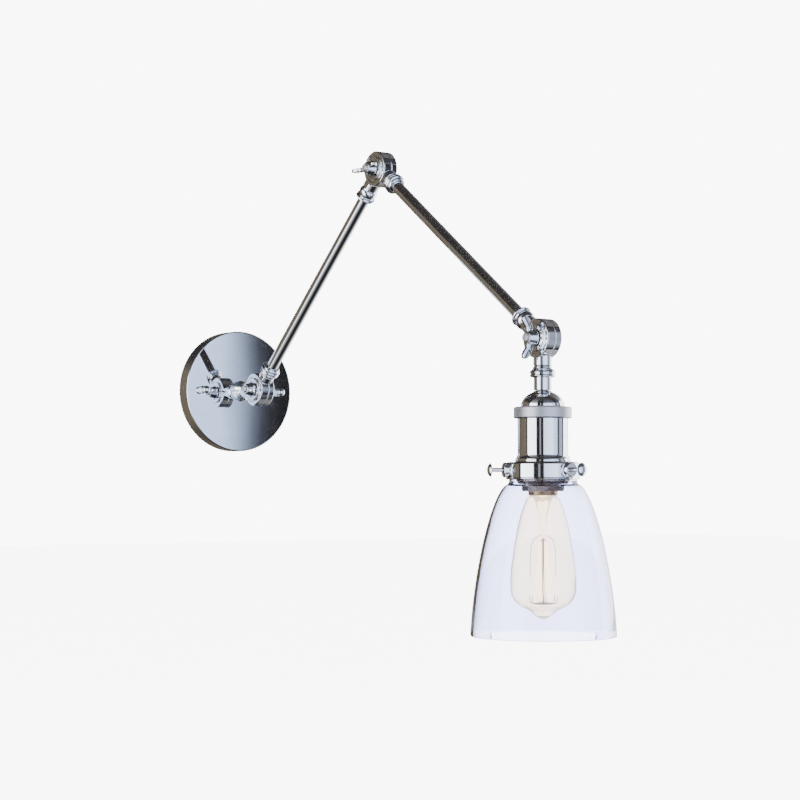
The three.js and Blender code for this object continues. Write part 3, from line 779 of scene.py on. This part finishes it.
def buildHead():
    s = headSizes
    gap = s["gap"]
    body, slot = "lamp_head", "chrome"
    turnedPiece("fine_neck_collar", [
        (s["collarBore"], s["domeTop"] + gap), (s["collarSpigot"], s["domeTop"] + gap),
        (s["collarSpigot"], s["collarBottom"]), *raised(s["collarBeads"], s["collarBottom"]),
        *raised(s["collarCrown"], s["collarTop"]),
    ], headPlace, chrome, body, 0.5)
    r, sheet, bore = s["domeRadius"], s["domeSheet"], s["collarBore"]
    rise = s["domeTop"] - s["capTop"]
    turnedPiece("fine_socket_dome", [
        (r - sheet, s["capTop"]), (r, s["capTop"]), *arc((0, s["capTop"]), (r, rise), 8, 64, 14),
        (s["domeHole"], s["domeTop"] - gap), (bore, s["domeTop"] - gap),
        (bore, s["domeTop"] - s["domeLip"]),
        *arc((0, s["capTop"]), (r - sheet, rise - sheet - gap), 66, 8, 10),
    ], headPlace, chrome, body, 0.25)
    cap, (inward, down) = s["capRadius"], s["capSlope"]
    turnedPiece("fine_socket_cap_ring", [
        (s["capInner"], s["barrelTop"]), (cap - s["capEdge"], s["barrelTop"]),
        (cap, s["barrelTop"] + s["capEdge"]), (cap, s["capTop"] - down), (cap - inward, s["capTop"] - gap),
        (s["capInner"], s["capTop"] - gap),
    ], headPlace, satin, body, 0.4, 128)
    barrel, flare, wall = s["barrelRadius"], s["flareRadius"], s["barrelWall"]
    centre = flare + s["flareOut"]
    turnedPiece("fine_socket_barrel", [
        (barrel - wall, s["barrelBottom"]), (flare - wall, s["galleryTop"] + gap),
        (flare, s["galleryTop"] + gap), (flare, s["galleryTop"] + s["flareLip"]),
        *arc((centre, s["barrelBottom"] - s["flareDrop"]), (centre - barrel, s["flareRise"]),
             240, 180, 10),
        (barrel, s["barrelTop"] - gap), (barrel - wall, s["barrelTop"] - gap),
    ], headPlace, chrome, body, 0.3, 128)


def buildGallery():
    s = headSizes
    r, sheet = s["galleryRadius"], s["gallerySheet"]
    bm = bmesh.new()
    addTurned(bm, [
        (r - sheet, s["galleryBottom"]),
        *[(r + out, s["galleryBottom"] + up) for out, up in s["galleryFoot"]],
        (r, s["galleryTop"] - s["galleryEdge"]), (r - s["galleryEdge"], s["galleryTop"]),
        (s["galleryHole"], s["galleryTop"]), (s["galleryHole"], s["galleryTop"] - sheet),
        (r - sheet, s["galleryTop"] - sheet),
    ], headPlace, 0.4, 128)
    for turn in screwTurns:
        place = headPlace @ Matrix.Translation((0, 0, s["thumbHeight"])) @ turn @ zToX
        addTurned(bm, raised(s["boss"], r), place, 0.3, 64)
    finishPiece("fine_shade_gallery", bm, chrome, "lamp_head", ["shade_gallery"])


def thumbTurn(index):
    # each screw's direction comes from its slide's axis
    axis = next(j for j in frame["joints"] if j["child"] == f"thumb_screw_{index}")["axis"]
    return Matrix.Rotation(math.atan2(axis[1], axis[0]), 4, "Z")


screwTurns = [thumbTurn(i) for i in (1, 2, 3)]

# heights run outward from the lamp's own axis
thumbScrew = {
    "shaft": [(0, 29.1), (1.5, 29.1), (1.8, 29.5), (1.8, 44.6), (2.6, 44.9), (5.6, 45.5), (5.9, 46.1)],
    "crown": ((0, 45.6), (5.6, 3.1), 12, 88, 8), "end": 48.7, "threadFrom": 35.2,
    "thread": {"Turns": 9.0, "Radius": 1.65, "Height": 9.0, "Ridge": 0.22},
}


def buildThumbScrews():
    for i, turn in enumerate(screwTurns):
        place = headPlace @ Matrix.Translation((0, 0, headSizes["thumbHeight"])) @ turn @ zToX
        bm = bmesh.new()
        profile = [*thumbScrew["shaft"], *arc(*thumbScrew["crown"]), (0, thumbScrew["end"])]
        addTurned(bm, profile, place, 0.25, 48)
        thread = meshFromTree(screwThread, {**thumbScrew["thread"], "Material": chrome})
        addMesh(bm, thread, place @ Matrix.Translation((0, 0, thumbScrew["threadFrom"])))
        name = f"thumb_screw_{i + 1}"
        finishPiece("fine_" + name, bm, chrome, name, [name])


threadRing = [
    (15, -131), (17.8, -131), (18.1, -127.6), (22.4, -127.2), (22.8, -126), (22.8, -123.4),
    (22.2, -122.6), (22.8, -121.8), (22.8, -120), (19.2, -119.4), (19.2, -104.6), (15, -104.6),
]

buildHead()
buildGallery()
buildThumbScrews()
turnedPiece("fine_barrel_thread_ring", threadRing, headPlace, nickel, "lamp_head", 0.4)
print("lamp head ready")

# the bell swells quickly below its neck and ends almost upright at the rim
bell = {"neck": 28.8, "foot": 30, "top": -124.6, "rim": -252.3, "rimRadius": 62, "wall": 2.4,
        "steps": 40, "crowding": 1.6, "fullness": 1.42, "flatness": 0.6, "rimRound": 0.9,
        "shoulder": 2.6, "innerShoulder": 1.5, "lipFrom": -110, "lipFlare": 0.4, "lipGap": 1}


def bellWall(inset):
    points = []
    for i in range(bell["steps"] + 1):
        drop = (i / bell["steps"]) ** bell["crowding"]
        swell = (1 - (1 - drop) ** bell["fullness"]) ** bell["flatness"]
        points.append((bell["foot"] + (bell["rimRadius"] - bell["foot"]) * swell - inset,
                       bell["top"] + (bell["rim"] - bell["top"]) * drop))
    return points


def buildShade():
    neck, wall = bell["neck"], bell["wall"]
    lipTop = headSizes["galleryTop"] - headSizes["gallerySheet"] - bell["lipGap"]
    rim = arc((bell["rimRadius"] - wall / 2, bell["rim"]), (wall / 2, bell["rimRound"]), 0, -180, 8)
    turnedPiece("fine_glass_shade", [
        *reversed(bellWall(0)), (neck, bell["top"] + bell["shoulder"]), (neck, bell["lipFrom"]),
        (neck + bell["lipFlare"], lipTop), (neck - wall, lipTop),
        (neck - wall, bell["top"] - bell["innerShoulder"]), *bellWall(wall)[3:-1],
        (bell["rimRadius"] - wall, bell["rim"]), *reversed(rim[1:-1]),
    ], headPlace, shadeGlass, "lamp_head", 0.3, 160)


bulb = {"tip": -238.5, "wall": 0.7, "innerTip": 2.2, "innerFrom": -236, "steps": 6}
teardrop = [
    (10.9, -130), (11.1, -134.6), (14.4, -138), (18, -147.5), (21, -158), (23.6, -171), (25.7, -185),
    (27.5, -198), (28, -209), (27, -218.5), (22.6, -225.4), (17, -229), (13, -230.9), (10.4, -232.6),
    (7.2, -235.7), (4, -237.7), (1.6, -238.4),
]
glassStem = [(0, -170), (2.4, -170), (2.8, -168), (2.2, -165), (3.4, -152), (6, -142), (9.4, -134),
             (9.4, -132.6), (4.2, -132.6), (0, -140)]
screwBase = {
    "shell": [(11.6, -134.5), (12.4, -134.5), (12.6, -128), (12.4, -109), (12.4, -86), (9, -83.6),
              (9, -84.6), (11.7, -87), (11.7, -109)],
    "thread": {"Turns": 5.0, "Radius": 12.2, "Height": 18.0, "Ridge": 0.75}, "threadFrom": -106,
}
cage = {"Strands": 9.0, "Lower Radius": 7.2, "Upper Radius": 3.2, "Lower": -223.0, "Upper": -173.0,
        "Thread": 0.17}
# each wire: (distance from the axis, height) along it, its radius, and the steps between two points
supports = {
    "count": 6, "sides": 8, "rod": [(0, -226), (0.9, -226), (0.9, -170.4), (0, -170.4)],
    "ring": [(6.8, -226), (8, -226), (8, -224.8), (6.8, -224.8)],
    "hook": ([(0.6, -225.4), (5, -225.8), (11.6, -224.6), (12.4, -219.5)], 0.34, 4),
    "side": ([(2.6, -167.5), (10.5, -172), (13.6, -182), (14, -203)], 0.28, 5),
    "top": ([(0.6, -172.6), (2.2, -171.8), (3.1, -173.4)], 0.26, 4),
}


def addSupport(bm, kind, angle):
    route, radius, steps = supports[kind]
    points = [(out * math.cos(angle), out * math.sin(angle), height) for out, height in route]
    addTube(bm, points, radius, headPlace, supports["sides"], steps)


def buildBulb():
    wall = bulb["wall"]
    outer = [*[tuple(point) for point in smoothPath(teardrop, bulb["steps"])], (0, bulb["tip"])]
    inner = [(r - wall, h) for r, h in outer if r > 2 * wall and h > bulb["innerFrom"]]
    shell = [*reversed(outer), *inner, (0, bulb["tip"] + bulb["innerTip"])]
    turnedPiece("fine_bulb_glass", shell, headPlace, bulbGlass, "bulb", 0.4, 96)
    turnedPiece("fine_bulb_stem", glassStem, headPlace, bulbGlass, "bulb", 0.6, 48)

    bm = bmesh.new()
    addTurned(bm, screwBase["shell"], headPlace, 0.4, 72)
    thread = meshFromTree(screwThread, {**screwBase["thread"], "Material": brass})
    addMesh(bm, thread, headPlace @ Matrix.Translation((0, 0, screwBase["threadFrom"])))
    finishPiece("fine_bulb_screw_base", bm, brass, "bulb", ["bulb_screw_base"])

    bm = bmesh.new()
    addMesh(bm, meshFromTree(filamentCage, {**cage, "Material": glow}), headPlace)
    finishPiece("fine_bulb_filament", bm, glow, "bulb", ["bulb_filament"])

    bm = bmesh.new()
    addTurned(bm, supports["rod"], headPlace, 0.2, 16)
    addTurned(bm, supports["ring"], headPlace, 0.3, 48)
    for i in range(supports["count"]):
        angle = math.radians(360 * i / supports["count"])
        addSupport(bm, "hook", angle)
        if i % 3 == 0:
            addSupport(bm, "side", angle)
        addSupport(bm, "top", angle)
    frameNode = "bulb_support_frame"
    finishPiece("fine_" + frameNode, bm, supportWire, "bulb", [frameNode])


buildShade()
buildBulb()
print("shade and bulb ready")

wireNutSizes = {"length": 13, "mouth": 4.8, "crown": 3, "bore": 3.2, "depth": 9, "edge": 0.6,
                "ribs": {"Count": 12, "Radius": 3.95, "Rib": 0.6, "Length": 10.5}, "ribsAt": 6}


def buildWireNut(name):
    low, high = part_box(name)
    place = Matrix.Translation(((low[0] + high[0]) / 2, (low[1] + high[1]) / 2, low[2])) @ toMetres
    s = wireNutSizes
    bm = bmesh.new()
    addTurned(bm, [(0, s["depth"]), (s["bore"], s["depth"]), (s["bore"], 0), (s["mouth"], 0),
                   (s["crown"], s["length"] - s["edge"]), (0, s["length"])], place, 0.5, 48)
    ribs = meshFromTree(ribRing, {**s["ribs"], "Material": wireCap})
    addMesh(bm, ribs, place @ Matrix.Translation((0, 0, s["ribsAt"])))
    finishPiece("fine_" + name, bm, wireCap, "wall_mount", [name])


# a lead's route: (share of its reach sideways, depth, height)
wallLead = {
    "reach": 24, "radius": 1.1,
    "route": [(0.075, -26, 0), (0.075, -14, 0), (0.075, -7.4, 0), (0.3, -4.4, 2.6), (0.8, -6.4, 9),
              (1, -8, 16),
              (1, -8, 22)],
}


def buildWallLead(name, side, material):
    x = side * wallLead["reach"]
    bm = bmesh.new()
    addTube(bm, [(x * share, depth, height) for share, depth, height in wallLead["route"]],
            wallLead["radius"], toMetres)
    finishPiece("fine_" + name, bm, material, "wall_mount", [name])


for name in ("wire_nut_live", "wire_nut_neutral"):
    buildWireNut(name)
buildWallLead("wall_lead_live", -1, brownLead)
buildWallLead("wall_lead_neutral", 1, blueLead)

# CAD nodes whose shape is already right get only a material
kept = {
    "wall_bracket": zinc, "bracket_stud_left": zinc, "bracket_stud_right": zinc, "earth_screw": brass,
    "stem_nipple": zinc, "nipple_washer": zinc, "nipple_nut": zinc, "wall_friction_washer": fibre,
    "elbow_friction_washer": fibre, "head_friction_washer": fibre, "lower_arm_twin_lead": whiteLead,
    "outer_arm_twin_lead": whiteLead, "lampholder_body": porcelain, "screw_shell": brass,
    "centre_contact": brass, "bulb_tip_contact": blackGlass, "socket_lead_live": brownLead,
    "socket_lead_neutral": blueLead,
}
for name, material in kept.items():
    node = frame["nodes"][name]
    for holder in node.material_slots:
        holder.material = material
    if not node.material_slots:
        node.data.materials.append(material)
print("inner pieces ready")

# metres and degrees; the lens and its sensor are in millimetres, the power in watts
studio = {
    "floor": -0.62, "floorSize": 30, "pale": (9.2, 9.2, 9.25),
    "cameraAzimuth": -35.56, "cameraElevation": -2.73, "distance": 1.812,
    "aim": (0.00784, -0.300, -0.02009), "lens": 85.9, "sensor": 36, "floorTone": (0.92, 0.95),
    "floorRough": 0.9,
    "overhead": {"place": (-0.5, -0.6, 1.9), "size": 1.6, "power": 30},
}
# what the polished metal reflects all round the lamp: (azimuth in degrees, colour)
panels = [
    (-180, (0.17, 0.14, 0.10)), (-122, (0.24, 0.20, 0.15)), (-117.5, (0.012, 0.011, 0.012)),
    (-114, (0.012, 0.012, 0.013)), (-112, (5.5, 5.6, 6.0)), (-72, (4.6, 4.8, 5.2)),
    (-68, (0.02, 0.02, 0.022)), (-55, (0.03, 0.028, 0.03)), (-53, (0.5, 0.5, 0.55)),
    (-49, (0.45, 0.47, 0.52)), (-47, (0.02, 0.02, 0.022)), (-38, (0.03, 0.03, 0.035)),
    (-34, (1.7, 1.95, 2.5)), (0, (2.1, 2.5, 3.2)), (8, (2.0, 2.4, 3.1)), (12, (1.4, 1.7, 2.4)),
    (28, (1.2, 1.5, 2.15)), (30, (0.75, 0.92, 1.3)), (32, (0.24, 0.28, 0.38)),
    (34, (0.06, 0.06, 0.075)), (36, (0.024, 0.023, 0.026)), (38.6, (0.02, 0.02, 0.022)),
    (39.4, (0.45, 0.48, 0.6)), (58, (0.75, 0.82, 1.0)), (61, (0.012, 0.012, 0.014)),
    (68, (0.012, 0.012, 0.014)), (70, (5.5, 5.5, 5.6)), (112, (4.5, 4.5, 4.7)),
    (140, (0.17, 0.14, 0.10)), (180, (0.17, 0.14, 0.10)),
]
# and from straight down to straight up, laid over those: (sine of the height, colour, share)
levels = [
    (-1.0, (0.02, 0.018, 0.016), 1.0), (-0.86, (0.03, 0.027, 0.024), 0.96),
    (-0.62, (0.03, 0.027, 0.025), 0.8), (-0.42, (0.03, 0.027, 0.025), 0.0),
    (0.34, (0.03, 0.03, 0.034), 0.0), (0.5, (0.03, 0.028, 0.03), 0.93), (1.0, (0.05, 0.042, 0.04), 1.0),
]


def fillRamp(ramp, colors):
    stops = ramp.color_ramp.elements
    while len(stops) > 1:
        stops.remove(stops[-1])
    for i, (place, color) in enumerate(colors):
        stop = stops[0] if i == 0 else stops.new(place)
        stop.position = place
        stop.color = (*color, 1)


def buildWorld():
    world = bpy.data.worlds.new("studio")
    bpy.context.scene.world = world
    world.use_nodes = True
    tree = world.node_tree
    shade = tree.nodes["Background"]
    direction = tree.nodes.new("ShaderNodeTexCoord").outputs["Generated"]
    parts = tree.nodes.new("ShaderNodeSeparateXYZ")
    wire(tree, direction, parts.inputs[0])
    turn = math2(tree, "ARCTAN2", parts.outputs[0], math2(tree, "MULTIPLY", parts.outputs[1], -1.0))
    spot = between(tree, turn, -math.pi, math.pi, 0, 1)
    ramp = tree.nodes.new("ShaderNodeValToRGB")
    fillRamp(ramp, [((azimuth + 180) / 360, color) for azimuth, color in panels])
    wire(tree, spot, ramp.inputs[0])
    shares = tree.nodes.new("ShaderNodeValToRGB")
    tints = tree.nodes.new("ShaderNodeValToRGB")
    height = between(tree, parts.outputs[2], -1, 1, 0, 1)
    fillRamp(shares, [((level + 1) / 2, (share, share, share)) for level, _, share in levels])
    fillRamp(tints, [((level + 1) / 2, color) for level, color, _ in levels])
    wire(tree, height, shares.inputs[0])
    wire(tree, height, tints.inputs[0])
    blend = tree.nodes.new("ShaderNodeMix")
    blend.data_type = "RGBA"
    wire(tree, shares.outputs[0], blend.inputs["Factor"])
    wire(tree, ramp.outputs[0], blend.inputs["A"])
    wire(tree, tints.outputs[0], blend.inputs["B"])
    # only reflections see the panels; the background, also through the glass, is plain, even and pale
    path = tree.nodes.new("ShaderNodeLightPath")
    mirrored = math2(tree, "MINIMUM", path.outputs["Glossy Depth"], 1.0)
    seen = tree.nodes.new("ShaderNodeMix")
    seen.data_type = "RGBA"
    wire(tree, mirrored, seen.inputs["Factor"])
    seen.inputs["A"].default_value = (*studio["pale"], 1)
    wire(tree, blend.outputs["Result"], seen.inputs["B"])
    wire(tree, seen.outputs["Result"], shade.inputs["Color"])


def buildFloor():
    half = studio["floorSize"] / 2
    mesh = bpy.data.meshes.new("floor")
    corners = [(-half, -half), (half, -half), (half, half), (-half, half)]
    mesh.from_pydata([(x, y, studio["floor"]) for x, y in corners], [], [(0, 1, 2, 3)])
    floor = bpy.data.objects.new("floor", mesh)
    bpy.context.scene.collection.objects.link(floor)
    material, tree, shader = newMaterial("paleFloor")
    place = tree.nodes.new("ShaderNodeTexCoord").outputs["Object"]
    tone = between(tree, noise(tree, 3, 2, place), 0, 1, *studio["floorTone"])
    color = tree.nodes.new("ShaderNodeCombineColor")
    for socket in color.inputs[:3]:
        wire(tree, tone, socket)
    wire(tree, color.outputs[0], shader.inputs["Base Color"])
    shader.inputs["Roughness"].default_value = studio["floorRough"]
    mesh.materials.append(material)
    floor.visible_glossy = False


def addSoftLight(name, place, size, power):
    light = bpy.data.lights.new(name, "AREA")
    light.shape = "DISK"
    light.size = size
    light.energy = power
    lamp = bpy.data.objects.new(name, light)
    lamp.location = place
    lamp.visible_glossy = False
    aim = Vector(studio["aim"]) - Vector(place)
    lamp.rotation_euler = aim.to_track_quat("-Z", "Y").to_euler()
    bpy.context.scene.collection.objects.link(lamp)


def addCamera():
    azimuth, elevation = math.radians(studio["cameraAzimuth"]), math.radians(studio["cameraElevation"])
    away = Vector((math.sin(azimuth) * math.cos(elevation), -math.cos(azimuth) * math.cos(elevation),
                   math.sin(elevation)))
    data = bpy.data.cameras.new("camera")
    data.lens = studio["lens"]
    data.sensor_width = studio["sensor"]
    camera = bpy.data.objects.new("camera", data)
    camera.location = Vector(studio["aim"]) + away * studio["distance"]
    camera.rotation_euler = (-away).to_track_quat("-Z", "Y").to_euler()
    bpy.context.scene.collection.objects.link(camera)
    bpy.context.scene.camera = camera


buildWorld()
buildFloor()
addSoftLight("overhead", **studio["overhead"])
addCamera()
print("studio ready")
